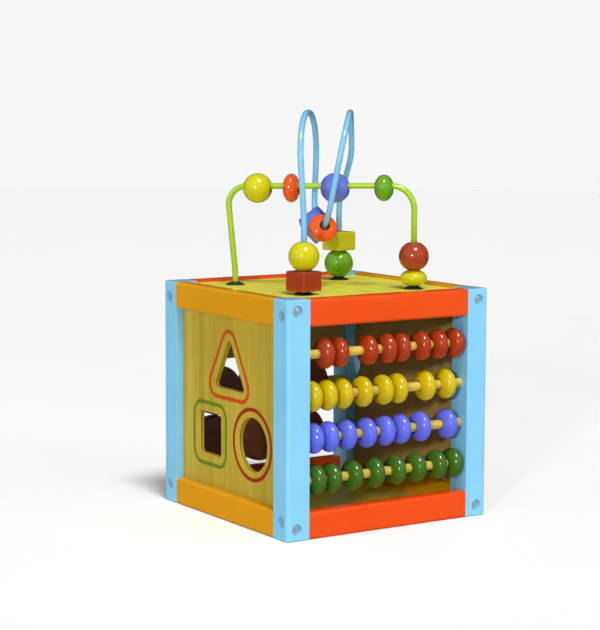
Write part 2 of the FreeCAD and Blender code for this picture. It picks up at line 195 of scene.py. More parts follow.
class CubePaints(bpy.types.PropertyGroup):
    """Colours of the painted and bare parts."""

    posts: colour_property("Posts", "Sky-blue paint of the four corner posts", srgb(128, 195, 229))
    front_rails: colour_property(
        "Front rails", "Red-orange paint of the front and back rails", srgb(222, 72, 8)
    )
    side_rails: colour_property(
        "Side rails", "Yellow-orange paint of the side rails", srgb(215, 149, 2)
    )
    board_light: colour_property(
        "Board, light", "Early wood of the lacquered plywood", srgb(196, 172, 54)
    )
    board_dark: colour_property(
        "Board, dark", "Late wood of the lacquered plywood", srgb(172, 145, 32)
    )
    # Painted shade: the darker, browner tone that board faces looking into the cube are mixed
    # toward.
    inner_shade: colour_property(
        "Inside, unlacquered", "Board faces that look into the cube", srgb(172, 136, 96)
    )
    lid_light: colour_property("Lid, light", "Early wood of the lid", srgb(236, 232, 86))
    lid_dark: colour_property("Lid, dark", "Late wood of the lid", srgb(218, 209, 66))
    dowel: colour_property("Dowels", "Lacquered birch of the rods", srgb(218, 188, 78))
    red: colour_property("Red beads", "Paint of the top bead row", srgb(160, 52, 18))
    yellow: colour_property("Yellow beads", "Paint of the second bead row", srgb(195, 169, 2))
    blue: colour_property("Blue beads", "Paint of the third bead row", srgb(92, 102, 218))
    green: colour_property("Green beads", "Paint of the bottom bead row", srgb(58, 98, 18))
    maze_yellow: colour_property("Maze yellow", "Yellow of the maze beads", srgb(197, 192, 2))
    maze_orange: colour_property("Maze orange", "Orange of the maze beads", srgb(234, 84, 14))
    maze_violet: colour_property("Maze violet", "Violet of the maze beads", srgb(100, 118, 214))
    maze_green: colour_property("Maze green", "Green of the maze beads", srgb(98, 156, 20))
    maze_red: colour_property("Maze red", "Brick red of the maze beads", srgb(158, 56, 24))
    triangle_line: colour_property(
        "Triangle line", "Outline round the triangular hole", srgb(198, 72, 14)
    )
    square_line: colour_property(
        "Square line", "Outline round the square hole", srgb(102, 132, 16)
    )
    circle_line: colour_property("Circle line", "Outline round the round hole", srgb(154, 44, 14))
    disc_wood: colour_property("Disc wood", "Stained wood of the turning discs", srgb(128, 72, 44))
    green_wire: colour_property("Arch wire", "Enamel of the arch wire", srgb(156, 194, 18))
    blue_wire: colour_property("Loop wire", "Enamel of the looped wire", srgb(118, 186, 222))
    grommet: colour_property("Grommets", "Rubber of the wire grommets", srgb(34, 38, 26))
    screw: colour_property("Screws", "Steel of the screws", srgb(196, 208, 216))


class CubeSizes(bpy.types.PropertyGroup):
    """Sizes of what is drawn and bent on the cube."""

    circle_offset: length_property(
        "Circle offset", "From the round hole's edge to its outline", 6.8 * MM
    )
    square_offset: length_property(
        "Square offset", "From the square hole's edge to its outline", 8.3 * MM
    )
    triangle_offset: length_property(
        "Triangle offset", "From the triangle's edge to its outline", 7.8 * MM
    )
    line_width: length_property("Line width", "Width of the painted outlines", 3.5 * MM)
    edge_wear: length_property("Edge wear", "How far wear reaches in from an edge", 1.1 * MM)
    ply_layer: length_property("Ply layer", "Thickness of one ply of the boards", 1.25 * MM)
    wire_radius: length_property("Wire radius", "Radius of the enamelled wires", 2.5 * MM)


class CubeStage(bpy.types.PropertyGroup):
    """Camera, floor and light."""

    azimuth: bpy.props.FloatProperty(
        name="Azimuth", description="Camera to the left of the abacus's own axis",
        default=math.radians(33.08), subtype="ANGLE",
    )
    elevation: bpy.props.FloatProperty(
        name="Elevation", description="Camera above the target",
        default=math.radians(6.43), subtype="ANGLE",
    )
    roll: bpy.props.FloatProperty(
        name="Roll", description="Tilt of the horizon",
        default=math.radians(0.24), subtype="ANGLE",
    )
    distance: length_property("Distance", "Camera to target", 1.68)
    target: bpy.props.FloatVectorProperty(
        name="Target", description="Point in the middle of the view",
        default=(0.013, 0.0562, 0.161), size=3, subtype="TRANSLATION", unit="LENGTH",
    )
    lens: bpy.props.FloatProperty(
        name="Lens", description="Focal length in millimetres", default=108.26, min=1
    )
    floor_radius: length_property("Floor radius", "Radius of the pale floor", 6.0)


# ---- node helpers -------------------------------------------------------------------------------

class Sheet:
    """Adds nodes to a tree, with their settings and inputs in one call."""

    def __init__(self, tree):
        self.tree = tree

    def add(self, kind, inputs=None, **settings):
        node = self.tree.nodes.new(kind)
        for name, value in settings.items():
            setattr(node, name, value)
        for key, value in (inputs or {}).items():
            self.feed(node.inputs[key], value)
        return node

    def feed(self, socket, value):
        if isinstance(value, bpy.types.NodeSocket):
            self.tree.links.new(value, socket)
        elif socket.type == "RGBA" and len(value) == 3:
            socket.default_value = (*value, 1)
        else:
            socket.default_value = value

    def math(self, operation, first, second=0.0, clamp=False):
        inputs = {0: first, 1: second}
        return self.add("ShaderNodeMath", inputs, operation=operation, use_clamp=clamp).outputs[0]

    def vector(self, operation, first, second=(0, 0, 0)):
        node = self.add("ShaderNodeVectorMath", {0: first, 1: second}, operation=operation)
        return node.outputs["Value" if operation in ("DOT_PRODUCT", "LENGTH") else "Vector"]

    def noise(self, place, scale, detail=3.0, roughness=0.55):
        inputs = {"Vector": place, "Scale": scale, "Detail": detail, "Roughness": roughness}
        return self.add("ShaderNodeTexNoise", inputs).outputs["Fac"]

    def remap(self, value, low, high, to_low=0.0, to_high=1.0):
        node = self.add("ShaderNodeMapRange", {0: value, 1: low, 2: high, 3: to_low, 4: to_high})
        return node.outputs[0]

    def mix(self, amount, first, second):
        node = self.add("ShaderNodeMix", data_type="RGBA")
        for number, value in ((0, amount), (6, first), (7, second)):
            self.feed(node.inputs[number], value)
        return node.outputs[2]

    def scaled(self, colour, amount):
        """A colour made lighter or darker by a value about 1."""
        inputs = {0: colour, "Scale": amount}
        return self.add("ShaderNodeVectorMath", inputs, operation="SCALE").outputs["Vector"]

    def object_place(self):
        return self.add("ShaderNodeTexCoord").outputs["Object"]


def shared_group(name, inputs, outputs, fill):
    """A shader group with named sockets, built once; fill(sheet, given) returns its outputs."""
    if name in bpy.data.node_groups:
        return bpy.data.node_groups[name]
    tree = bpy.data.node_groups.new(name, "ShaderNodeTree")
    for label, kind, default in inputs:
        socket = tree.interface.new_socket(label, in_out="INPUT", socket_type=kind)
        socket.default_value = default
    for label, kind in outputs:
        tree.interface.new_socket(label, in_out="OUTPUT", socket_type=kind)
    sheet = Sheet(tree)
    given = sheet.add("NodeGroupInput").outputs
    results = fill(sheet, given)
    sink = sheet.add("NodeGroupOutput")
    for label, socket in results.items():
        tree.links.new(socket, sink.inputs[label])
    return tree


def wood_grain():
    """Long streaks and fine pores. Run is small along the grain and 1 across it."""
    def fill(sheet, given):
        place = sheet.vector("MULTIPLY", sheet.object_place(), given["Run"])
        bands = sheet.noise(place, 70.0, 2.0)
        bent = sheet.vector("ADD", place, sheet.scaled(bands, 0.004))
        streaks = sheet.noise(bent, 420.0, 5.0, 0.62)
        coarse, fine = sheet.math("MULTIPLY", bands, 0.62), sheet.math("MULTIPLY", streaks, 0.38)
        grain = sheet.math("ADD", coarse, fine)
        pores = sheet.noise(bent, 1900.0, 2.0)
        return {"Grain": sheet.remap(grain, 0.36, 0.64), "Pores": sheet.remap(pores, 0.60, 0.72)}
    return shared_group(
        "Wood Grain", [("Run", "NodeSocketVector", (1, 1, 0.05))],
        [("Grain", "NodeSocketFloat"), ("Pores", "NodeSocketFloat")], fill,
    )


def worn_edge():
    """1 on a sharp edge and 0 on the flats, broken up by noise."""
    def fill(sheet, given):
        bevel = sheet.add("ShaderNodeBevel", {"Radius": given["Width"]}, samples=4)
        plain = sheet.add("ShaderNodeNewGeometry").outputs["Normal"]
        turn = sheet.math("SUBTRACT", 1.0, sheet.vector("DOT_PRODUCT", bevel.outputs[0], plain))
        broken = sheet.remap(sheet.noise(sheet.object_place(), 160.0, 4.0), 0.35, 0.7, 0.25, 1.0)
        edge = sheet.remap(turn, 0.01, 0.14)
        return {"Edge": sheet.math("MULTIPLY", edge, broken, clamp=True)}
    return shared_group(
        "Worn Edge", [("Width", "NodeSocketFloat", 1.1 * MM)], [("Edge", "NodeSocketFloat")], fill,
    )


def paint_film():
    """A coat of gloss paint over wood: cloudy, faintly grained and thin on its edges."""
    def fill(sheet, given):
        place = sheet.object_place()
        cloud = sheet.noise(place, 22.0, 3.0)
        cloudy = sheet.remap(cloud, 0.3, 0.7, 0.955, 1.03)
        tone = sheet.math("ADD", cloudy, sheet.remap(given["Grain"], 0, 1, -0.02, 0.02))
        body = sheet.scaled(given["Paint"], tone)
        thin = sheet.mix(0.35, sheet.scaled(given["Paint"], 1.12), (0.62, 0.45, 0.24))
        colour = sheet.mix(sheet.math("MULTIPLY", given["Edge"], given["Thinness"]), body, thin)
        peel = sheet.noise(place, 700.0, 2.0)
        duller = sheet.math("MULTIPLY", given["Edge"], 0.12)
        rough = sheet.math("ADD", sheet.remap(cloud, 0.3, 0.7, 0.17, 0.27), duller)
        ribs = sheet.math("MULTIPLY", given["Grain"], 0.65)
        height = sheet.math("ADD", sheet.math("MULTIPLY", peel, 0.35), ribs)
        return {"Color": colour, "Roughness": rough, "Height": height}
    return shared_group(
        "Paint Film",
        [("Paint", "NodeSocketColor", (0.5, 0.5, 0.5, 1)), ("Grain", "NodeSocketFloat", 0.5),
         ("Edge", "NodeSocketFloat", 0.0), ("Thinness", "NodeSocketFloat", 0.35)],
        [("Color", "NodeSocketColor"), ("Roughness", "NodeSocketFloat"),
         ("Height", "NodeSocketFloat")],
        fill,
    )


def ply_layers():
    """Where a board shows its edge, and which ply is there, counted along Facing."""
    def fill(sheet, given):
        normal = sheet.add("ShaderNodeNewGeometry").outputs["Normal"]
        lies = sheet.math("ABSOLUTE", sheet.vector("DOT_PRODUCT", normal, given["Facing"]))
        along = sheet.vector("DOT_PRODUCT", sheet.object_place(), given["Facing"])
        depth = sheet.math("DIVIDE", along, given["Layer"])
        wave = sheet.math("SINE", sheet.math("MULTIPLY", depth, math.pi))
        return {"On Edge": sheet.remap(lies, 0.75, 0.45), "Ply": sheet.remap(wave, -0.25, 0.25)}
    return shared_group(
        "Ply Layers",
        [("Facing", "NodeSocketVector", (1, 0, 0)), ("Layer", "NodeSocketFloat", 1.25 * MM)],
        [("On Edge", "NodeSocketFloat"), ("Ply", "NodeSocketFloat")], fill,
    )


def turned_piece():
    """For a piece turned on a lathe about a line: where painted shade fills its bore, and fine
    rings round the line.
    """
    def fill(sheet, given):
        away = sheet.vector("SUBTRACT", sheet.object_place(), given["Point"])
        along = sheet.vector("DOT_PRODUCT", away, given["Axis"])
        on_axis = sheet.scaled(given["Axis"], along)
        radial = sheet.vector("LENGTH", sheet.vector("SUBTRACT", away, on_axis))
        ring_place = sheet.add("ShaderNodeCombineXYZ", {"X": radial, "Y": along}).outputs[0]
        rings = sheet.noise(ring_place, 1500.0, 2.0)
        bore = sheet.remap(radial, given["Bore"], sheet.math("ADD", given["Bore"], -BORE_SHADE_FADE))
        return {"Painted Bore Shade": bore, "Rings": rings}
    return shared_group(
        "Turned Piece",
        [("Point", "NodeSocketVector", (0, 0, 0)), ("Axis", "NodeSocketVector", (0, 0, 1)),
         ("Bore", "NodeSocketFloat", ABACUS_BORE_SHADE)],
        [("Painted Bore Shade", "NodeSocketFloat"), ("Rings", "NodeSocketFloat")], fill,
    )


def painted_line():
    """1 on a stroke at Offset from an edge, with a slight wobble of the brush."""
    def fill(sheet, given):
        shake = sheet.noise(sheet.object_place(), 130.0, 2.0)
        wobble = sheet.remap(shake, 0.0, 1.0, -0.3 * MM, 0.3 * MM)
        off = sheet.math("SUBTRACT", sheet.math("ADD", given["Distance"], wobble), given["Offset"])
        half = sheet.math("MULTIPLY", given["Width"], 0.5)
        inside = sheet.math("SUBTRACT", half, sheet.math("ABSOLUTE", off))
        return {"Line": sheet.remap(inside, -0.1 * MM, 0.25 * MM)}
    return shared_group(
        "Painted Line",
        [("Distance", "NodeSocketFloat", 1.0), ("Offset", "NodeSocketFloat", 6.8 * MM),
         ("Width", "NodeSocketFloat", 3.5 * MM)],
        [("Line", "NodeSocketFloat")], fill,
    )


# ---- materials ----------------------------------------------------------------------------------

def new_material(name):
    """An empty material and the sheet that fills it."""
    material = bpy.data.materials.new(name)
    material.use_nodes = True
    material.node_tree.nodes.clear()
    return material, Sheet(material.node_tree)


def surface(sheet, colour, roughness, height=None, bump=0.0, strength=0.0, **plain):
    """Ends a material in a Principled shader. Plain values are set on the shader's own sockets."""
    shader = sheet.add("ShaderNodeBsdfPrincipled", {"Base Color": colour, "Roughness": roughness})
    for label, value in plain.items():
        shader.inputs[label.replace("_", " ").title().replace("Ior", "IOR")].default_value = value
    if height is not None:
        inputs = {"Height": height, "Distance": bump, "Strength": strength}
        bumped = sheet.add("ShaderNodeBump", inputs)
        sheet.tree.links.new(bumped.outputs[0], shader.inputs["Normal"])
    sheet.add("ShaderNodeOutputMaterial", {"Surface": shader.outputs[0]})
    return shader


def feed_group(sheet, group, inputs):
    """Places a shared group in a material with its own values."""
    node = sheet.add("ShaderNodeGroup", node_tree=group)
    for label, value in inputs.items():
        sheet.feed(node.inputs[label], value)
    return node


def painted_wood(name, colour, run):
    """Gloss-painted timber, worn a little through on its edges."""
    sizes = bpy.context.scene.cube_sizes
    material, sheet = new_material(name)
    grain = feed_group(sheet, wood_grain(), {"Run": run})
    edge = feed_group(sheet, worn_edge(), {"Width": sizes.edge_wear})
    film = feed_group(sheet, paint_film(), {
        "Paint": colour, "Grain": grain.outputs["Grain"], "Edge": edge.outputs["Edge"],
    })
    surface(
        sheet, film.outputs["Color"], film.outputs["Roughness"], film.outputs["Height"],
        PAINT_RELIEF, 0.4, specular_ior_level=0.35,
    )
    return material


def darker(colour, share):
    """A plain colour with each channel brought down to a share of itself."""
    return tuple(value * share for value in colour)


def lacquered(sheet, colour, rough, height):
    """Ends a board's material in satin lacquer."""
    surface(sheet, colour, rough, height, BOARD_RELIEF, 0.35, specular_ior_level=0.3)


def board_colours(sheet, light, dark, run, facing):
    """Colour, roughness and height of lacquered plywood, with its plies where an edge shows."""
    sizes = bpy.context.scene.cube_sizes
    grain = feed_group(sheet, wood_grain(), {"Run": run})
    plies = feed_group(sheet, ply_layers(), {"Facing": facing, "Layer": sizes.ply_layer})
    face = sheet.mix(grain.outputs["Grain"], dark, light)
    pores = sheet.math("MULTIPLY", grain.outputs["Pores"], 0.22)
    face = sheet.mix(pores, face, darker(dark, 0.45))
    edge = sheet.mix(plies.outputs["Ply"], darker(dark, 0.55), light)
    colour = sheet.mix(plies.outputs["On Edge"], face, edge)
    rough = sheet.remap(grain.outputs["Grain"], 0, 1, 0.44, 0.34)
    pits = sheet.math("MULTIPLY", grain.outputs["Pores"], 0.8)
    height = sheet.math("SUBTRACT", grain.outputs["Grain"], pits)
    return colour, rough, height


def painted_shade(sheet, colour, inward, shade_tone):
    """The colour, with painted shade on the faces that look along inward: they are mixed mostly
    toward a darker, browner tone.
    """
    normal = sheet.add("ShaderNodeNewGeometry").outputs["Normal"]
    mask = sheet.remap(sheet.vector("DOT_PRODUCT", normal, inward), 0.8, 0.95)
    return sheet.mix(mask, colour, sheet.mix(0.65, colour, shade_tone))


def door_plywood(paints):
    """Lacquered plywood, with painted shade on the inner face of the door."""
    material, sheet = new_material("door_plywood")
    colour, rough, height = board_colours(
        sheet, paints.board_light, paints.board_dark, GRAIN_ALONG_Z, (1, 0, 0)
    )
    colour = painted_shade(sheet, colour, (-1, 0, 0), paints.inner_shade)
    lacquered(sheet, colour, rough, height)
    return material


def flat_boards(paints):
    """The lid and the base, whose plies lie level, and the header, which stands upright."""
    material, sheet = new_material("lid_plywood")
    level, rough, height = board_colours(
        sheet, paints.lid_light, paints.lid_dark, GRAIN_ALONG_Y, (0, 0, 1)
    )
    upright, _, _ = board_colours(
        sheet, paints.board_light, paints.board_dark, GRAIN_ALONG_X, (0, 1, 0)
    )
    # Painted shade on the header's face that looks into the cube.
    upright = painted_shade(sheet, upright, (0, -1, 0), paints.inner_shade)
    up = sheet.add("ShaderNodeSeparateXYZ", {0: sheet.object_place()}).outputs["Z"]
    low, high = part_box("plywood_boards")
    above = sheet.math("GREATER_THAN", up, low.z + BASE_CLEAR)
    below = sheet.math("LESS_THAN", up, high.z - LID_CLEAR)
    stands = sheet.math("MULTIPLY", above, below)
    colour = sheet.mix(stands, level, upright)
    lacquered(sheet, colour, rough, height)
    return material


def hole_distances(sheet):
    """How far a point of the sorting wall lies outside each hole's edge, as sockets by name."""
    place = sheet.add("ShaderNodeSeparateXYZ", {0: sheet.object_place()}).outputs
    distances = {}

    def centred(name):
        low, high = OPENINGS[name]
        across = sheet.math("SUBTRACT", place["Y"], (low[1] + high[1]) / 2)
        rise = sheet.math("SUBTRACT", place["Z"], (low[2] + high[2]) / 2)
        return across, rise

    def length(first, second):
        joined = sheet.add("ShaderNodeCombineXYZ", {"X": first, "Y": second}).outputs[0]
        return sheet.vector("LENGTH", joined)

    def past_flat(value):
        beyond = sheet.math("SUBTRACT", sheet.math("ABSOLUTE", value), SQUARE_FLAT)
        return sheet.math("MAXIMUM", beyond, 0.0)

    distances["circle"] = sheet.math("SUBTRACT", length(*centred("circle_hole")), CIRCLE_RADIUS)

    corners = length(*(past_flat(value) for value in centred("square_hole")))
    distances["square"] = sheet.math("SUBTRACT", corners, SQUARE_CORNER)

    # The core triangle is folded about its lines of symmetry, which leaves one straight side to
    # measure to.
    half_side, slope = TRIANGLE_CORE_HALF, math.sqrt(3)
    across, _ = centred("triangle_hole")
    base = OPENINGS["triangle_hole"][0][2] - TRIANGLE_OPENING_INSET + TRIANGLE_CORNER
    rise = sheet.math("SUBTRACT", place["Z"], base + half_side / slope)
    x = sheet.math("SUBTRACT", sheet.math("ABSOLUTE", across), half_side)
    y = sheet.math("ADD", rise, half_side / slope)
    over = sheet.math("GREATER_THAN", sheet.math("ADD", x, sheet.math("MULTIPLY", y, slope)), 0.0)
    leaning = sheet.math("SUBTRACT", x, sheet.math("MULTIPLY", y, slope))
    folded_x = sheet.math("MULTIPLY", leaning, 0.5)
    rising = sheet.math("ADD", sheet.math("MULTIPLY", x, slope), y)
    folded_y = sheet.math("MULTIPLY", rising, -0.5)
    x = sheet.remap(over, 0, 1, x, folded_x)
    y = sheet.remap(over, 0, 1, y, folded_y)
    overshoot = sheet.math("MINIMUM", sheet.math("MAXIMUM", x, -2 * half_side), 0.0)
    span = length(sheet.math("SUBTRACT", x, overshoot), y)
    outside = sheet.math("MULTIPLY", sheet.math("SIGN", y), -1.0)
    signed = sheet.math("MULTIPLY", span, outside)
    distances["triangle"] = sheet.math("SUBTRACT", signed, TRIANGLE_CORNER)
    return distances


def sorting_wall(paints):
    """Plywood with a painted outline round each hole on its outer face."""
    sizes = bpy.context.scene.cube_sizes
    material, sheet = new_material("sorting_wall")
    colour, rough, height = board_colours(
        sheet, paints.board_light, paints.board_dark, GRAIN_ALONG_Z, (1, 0, 0)
    )
    normal = sheet.add("ShaderNodeNewGeometry").outputs["Normal"]
    outer = sheet.remap(sheet.vector("DOT_PRODUCT", normal, (-1, 0, 0)), 0.85, 0.97)
    for shape, distance in hole_distances(sheet).items():
        line = feed_group(sheet, painted_line(), {
            "Distance": distance, "Offset": getattr(sizes, f"{shape}_offset"),
            "Width": sizes.line_width,
        })
        mask = sheet.math("MULTIPLY", line.outputs["Line"], outer)
        paint = getattr(paints, f"{shape}_line")
        ink = sheet.scaled(paint, sheet.remap(height, 0, 1, 0.86, 1.04))
        colour = sheet.mix(mask, colour, ink)
        rough = sheet.remap(mask, 0, 1, rough, 0.28)
        height = sheet.math("ADD", height, sheet.math("MULTIPLY", mask, 0.6))
    lacquered(sheet, colour, rough, height)
    return material


def bare_dowel(paints):
    """Lacquered rods, whose grain runs along X."""
    material, sheet = new_material("bare_dowel")
    grain = feed_group(sheet, wood_grain(), {"Run": (0.05, 1.6, 1.6)})
    colour = sheet.mix(grain.outputs["Grain"], darker(paints.dowel, 0.74), paints.dowel)
    rough = sheet.remap(grain.outputs["Pores"], 0, 1, 0.4, 0.55)
    surface(sheet, colour, rough, grain.outputs["Grain"], ROD_RELIEF, 0.4)
    return material


def bead_paint(name, colour, point, axis, bore):
    """Dipped gloss paint on a turned bead, with painted shade darkening its bore."""
    material, sheet = new_material(name)
    lathe = feed_group(sheet, turned_piece(), {"Point": point, "Axis": axis, "Bore": bore})
    film = feed_group(sheet, paint_film(), {"Paint": colour, "Grain": lathe.outputs["Rings"]})
    # Painted shade: the bore is darkened to a quarter of the paint's colour.
    painted_bore_shade = tuple(0.25 * value + 0.01 for value in colour)
    shade = sheet.mix(lathe.outputs["Painted Bore Shade"], film.outputs["Color"], painted_bore_shade)
    surface(
        sheet, shade, film.outputs["Roughness"], lathe.outputs["Rings"], BEAD_RELIEF, 0.25,
        coat_weight=0.5, coat_roughness=0.06, specular_ior_level=0.3,
    )
    return material


def disc_finish(name, centre, ring_colour, paints):
    """Stained disc with a printed ring and dot on its outer face."""
    material, sheet = new_material(name)
    grain = feed_group(sheet, wood_grain(), {"Run": GRAIN_ALONG_X})
    colour = sheet.mix(grain.outputs["Grain"], darker(paints.disc_wood, 0.6), paints.disc_wood)
    away = sheet.vector("SUBTRACT", sheet.object_place(), tuple(centre))
    radial = sheet.vector("LENGTH", sheet.vector("MULTIPLY", away, (1, 0, 1)))
    for middle in DISC_PRINT_RADII:
        print_mask = feed_group(sheet, painted_line(), {
            "Distance": radial, "Offset": middle, "Width": DISC_PRINT_WIDTH,
        })
        normal = sheet.add("ShaderNodeNewGeometry").outputs["True Normal"]
        flat = sheet.remap(sheet.vector("DOT_PRODUCT", normal, (0, 1, 0)), 0.9, 0.98)
        mask = sheet.math("MULTIPLY", print_mask.outputs["Line"], flat)
        colour = sheet.mix(mask, colour, ring_colour)
    surface(
        sheet, colour, 0.34, grain.outputs["Grain"], ROD_RELIEF, 0.3,
        coat_weight=0.35, coat_roughness=0.15,
    )
    return material


def enamel(name, colour):
    """Smooth plastic enamel on bent wire."""
    material, sheet = new_material(name)
    film = feed_group(sheet, paint_film(), {"Paint": colour, "Thinness": 0.0})
    surface(
        sheet, film.outputs["Color"], film.outputs["Roughness"], film.outputs["Height"],
        WIRE_RELIEF, 0.3, coat_weight=0.5, coat_roughness=0.1,
    )
    return material


def grommet_rubber(paints):
    """Black rubber with a fine speck."""
    material, sheet = new_material("grommet_rubber")
    speck = sheet.noise(sheet.object_place(), 900.0, 3.0)
    colour = sheet.scaled(paints.grommet, sheet.remap(speck, 0.3, 0.7, 0.8, 1.25))
    surface(sheet, colour, sheet.remap(speck, 0.3, 0.7, 0.38, 0.52), speck, RUBBER_RELIEF, 0.4)
    return material


def screw_metal(paints):
    """Zinc-plated steel, brushed."""
    material, sheet = new_material("screw_metal")
    brushed = sheet.noise(sheet.vector("MULTIPLY", sheet.object_place(), (1, 1, 6)), 900.0, 3.0)
    colour = sheet.scaled(paints.screw, sheet.remap(brushed, 0.3, 0.7, 0.82, 1.1))
    rough = sheet.remap(brushed, 0.3, 0.7, 0.26, 0.42)
    surface(sheet, colour, rough, brushed, SCREW_RELIEF, 0.3, metallic=0.6)
    return material


def pale_ground():
    """Matt studio paper, lit up a little for the camera so that it stays pale."""
    material, sheet = new_material("pale_floor")
    mottle = sheet.noise(sheet.object_place(), 6.0, 2.0)
    colour = sheet.scaled(FLOOR_COLOUR, sheet.remap(mottle, 0.3, 0.7, 0.99, 1.01))
    shader = surface(sheet, colour, 0.6, emission_color=(1, 1, 1, 1))
    seen = sheet.add("ShaderNodeLightPath").outputs["Is Camera Ray"]
    sheet.feed(shader.inputs["Emission Strength"], sheet.math("MULTIPLY", seen, FLOOR_LIFT))
    return material


def give(node, material):
    """Puts a material on every slot of a CAD node."""
    for slot in NODES[node].material_slots:
        slot.material = material


# ---- bent wires ---------------------------------------------------------------------------------

def maze_point(along, across, height):
    """A place of the maze, in millimetres along its two diagonals, as a point in metres."""
    return Vector(((along + across) * ROOT_HALF, (along - across) * ROOT_HALF, height)) * MM


def bent_path(points, bends, steps=24):
    """Points along straight runs and the tangent arcs that join them, bends in millimetres."""
    path = [points[0]]
    for before, corner, after, bend in zip(points, points[1:], points[2:], bends):
        back, ahead = (before - corner).normalized(), (after - corner).normalized()
        half_angle = back.angle(ahead) / 2
        inward = (back + ahead).normalized()
        radius = bend * MM
        centre = corner + inward * (radius / math.sin(half_angle))
        first = corner + back * (radius / math.tan(half_angle)) - centre
        last = corner + ahead * (radius / math.tan(half_angle)) - centre
        sweep = math.pi - 2 * half_angle
        for step in range(steps + 1):
            share = step / steps
            weights = math.sin((1 - share) * sweep), math.sin(share * sweep)
            path.append(centre + (first * weights[0] + last * weights[1]) / math.sin(sweep))
    path.append(points[-1])
    return path


def tube(name, path, radius, sides=28):
    """A round closed tube along a path, its rings carried along without twisting."""
    mesh = bmesh.new()
    heading = (path[1] - path[0]).normalized()
    outward = heading.orthogonal().normalized()
    rings = []
    for index, centre in enumerate(path):
        ahead = path[min(index + 1, len(path) - 1)] - path[max(index - 1, 0)]
        turn = heading.rotation_difference(ahead.normalized())
        outward.rotate(turn)
        heading = ahead.normalized()
        side = heading.cross(outward)
        ring = []
        for number in range(sides):
            angle = 2 * math.pi * number / sides
            spoke = outward * math.cos(angle) + side * math.sin(angle)
            ring.append(mesh.verts.new(centre + spoke * radius))
        rings.append(ring)
    for ring, after in zip(rings, rings[1:]):
        for number in range(sides):
            beside = (number + 1) % sides
            mesh.faces.new((ring[number], ring[beside], after[beside], after[number]))
    mesh.faces.new(rings[0][::-1])
    mesh.faces.new(rings[-1])
    for face in mesh.faces:
        face.smooth = len(face.verts) == 4
    data = bpy.data.meshes.new(name)
    mesh.to_mesh(data)
    mesh.free()
    piece = bpy.data.objects.new(name, data)
    bpy.context.scene.collection.objects.link(piece)
    return piece


# ---- operators ----------------------------------------------------------------------------------

class CUBE_OT_paint_frame(bpy.types.Operator):
    """Paints the corner posts and the rails"""

    bl_idname = "cube.paint_frame"
    bl_label = "Paint frame"

    def execute(self, context):
        paints = context.scene.cube_paints
        give("corner_posts", painted_wood("post_paint", paints.posts, GRAIN_ALONG_Z))
        give("red_rails", painted_wood("front_rail_paint", paints.front_rails, GRAIN_ALONG_X))
        give("yellow_rails", painted_wood("side_rail_paint", paints.side_rails, GRAIN_ALONG_Y))
        return {"FINISHED"}


class CUBE_OT_finish_boards(bpy.types.Operator):
    """Finishes the lid, base, header, door and sorting wall"""

    bl_idname = "cube.finish_boards"
    bl_label = "Finish boards"

    def execute(self, context):
        paints = context.scene.cube_paints
        give("plywood_boards", flat_boards(paints))
        give("side_door", door_plywood(paints))
        give("sorter_panel", sorting_wall(paints))
        return {"FINISHED"}


class CUBE_OT_finish_dowels(bpy.types.Operator):
    """Finishes the dowel rods"""

    bl_idname = "cube.finish_dowels"
    bl_label = "Finish dowels"

    def execute(self, context):
        give("dowel_rods", bare_dowel(context.scene.cube_paints))
        return {"FINISHED"}


class CUBE_OT_paint_abacus(bpy.types.Operator):
    """Paints the four rows of abacus beads"""

    bl_idname = "cube.paint_abacus"
    bl_label = "Paint abacus beads"

    def execute(self, context):
        paints = context.scene.cube_paints
        for colour in ("red", "yellow", "blue", "green"):
            row = [name for name in NODES if name.startswith(f"{colour}_bead_")]
            low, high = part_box(row[0])
            material = bead_paint(
                f"{colour}_bead_paint", getattr(paints, colour), (low + high) / 2, (1, 0, 0),
                ABACUS_BORE_SHADE,
            )
            for name in row:
                give(name, material)
        return {"FINISHED"}


class CUBE_OT_finish_discs(bpy.types.Operator):
    """Stains and prints the turning discs"""

    bl_idname = "cube.finish_discs"
    bl_label = "Finish turning discs"

    def execute(self, context):
        paints = context.scene.cube_paints
        prints = (
            paints.red, paints.yellow, paints.blue, paints.green, paints.maze_orange, paints.posts,
        )
        discs = sorted(name for name in NODES if name.startswith("turning_disc_"))
        for name, colour in zip(discs, prints):
            low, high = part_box(name)
            give(name, disc_finish(f"{name}_finish", (low + high) / 2, colour, paints))
        return {"FINISHED"}


class CUBE_OT_paint_maze_beads(bpy.types.Operator):
    """Paints the beads and blocks of the maze"""

    bl_idname = "cube.paint_maze_beads"
    bl_label = "Paint maze beads"

    def execute(self, context):
        paints = context.scene.cube_paints
        dip = next(joint for joint in frame["joints"] if joint["child"] == "loop_orange_bead")
        hub, swing = Vector(dip["pos_m"]), Vector(dip["axis"])
        for name in NODES:
            if not name.startswith(("arch_", "loop_")):
                continue
            low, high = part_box(name)
            centre = (low + high) / 2
            joint = next(joint for joint in frame["joints"] if joint["child"] == name)
            axis = Vector(joint["axis"])
            if joint["type"] == "hinge":
                axis = swing.cross(centre - hub).normalized()
            colour = getattr(paints, f"maze_{name.split('_')[1]}")
            give(name, bead_paint(f"{name}_paint", colour, centre, axis, MAZE_BORE_SHADE))
        return {"FINISHED"}


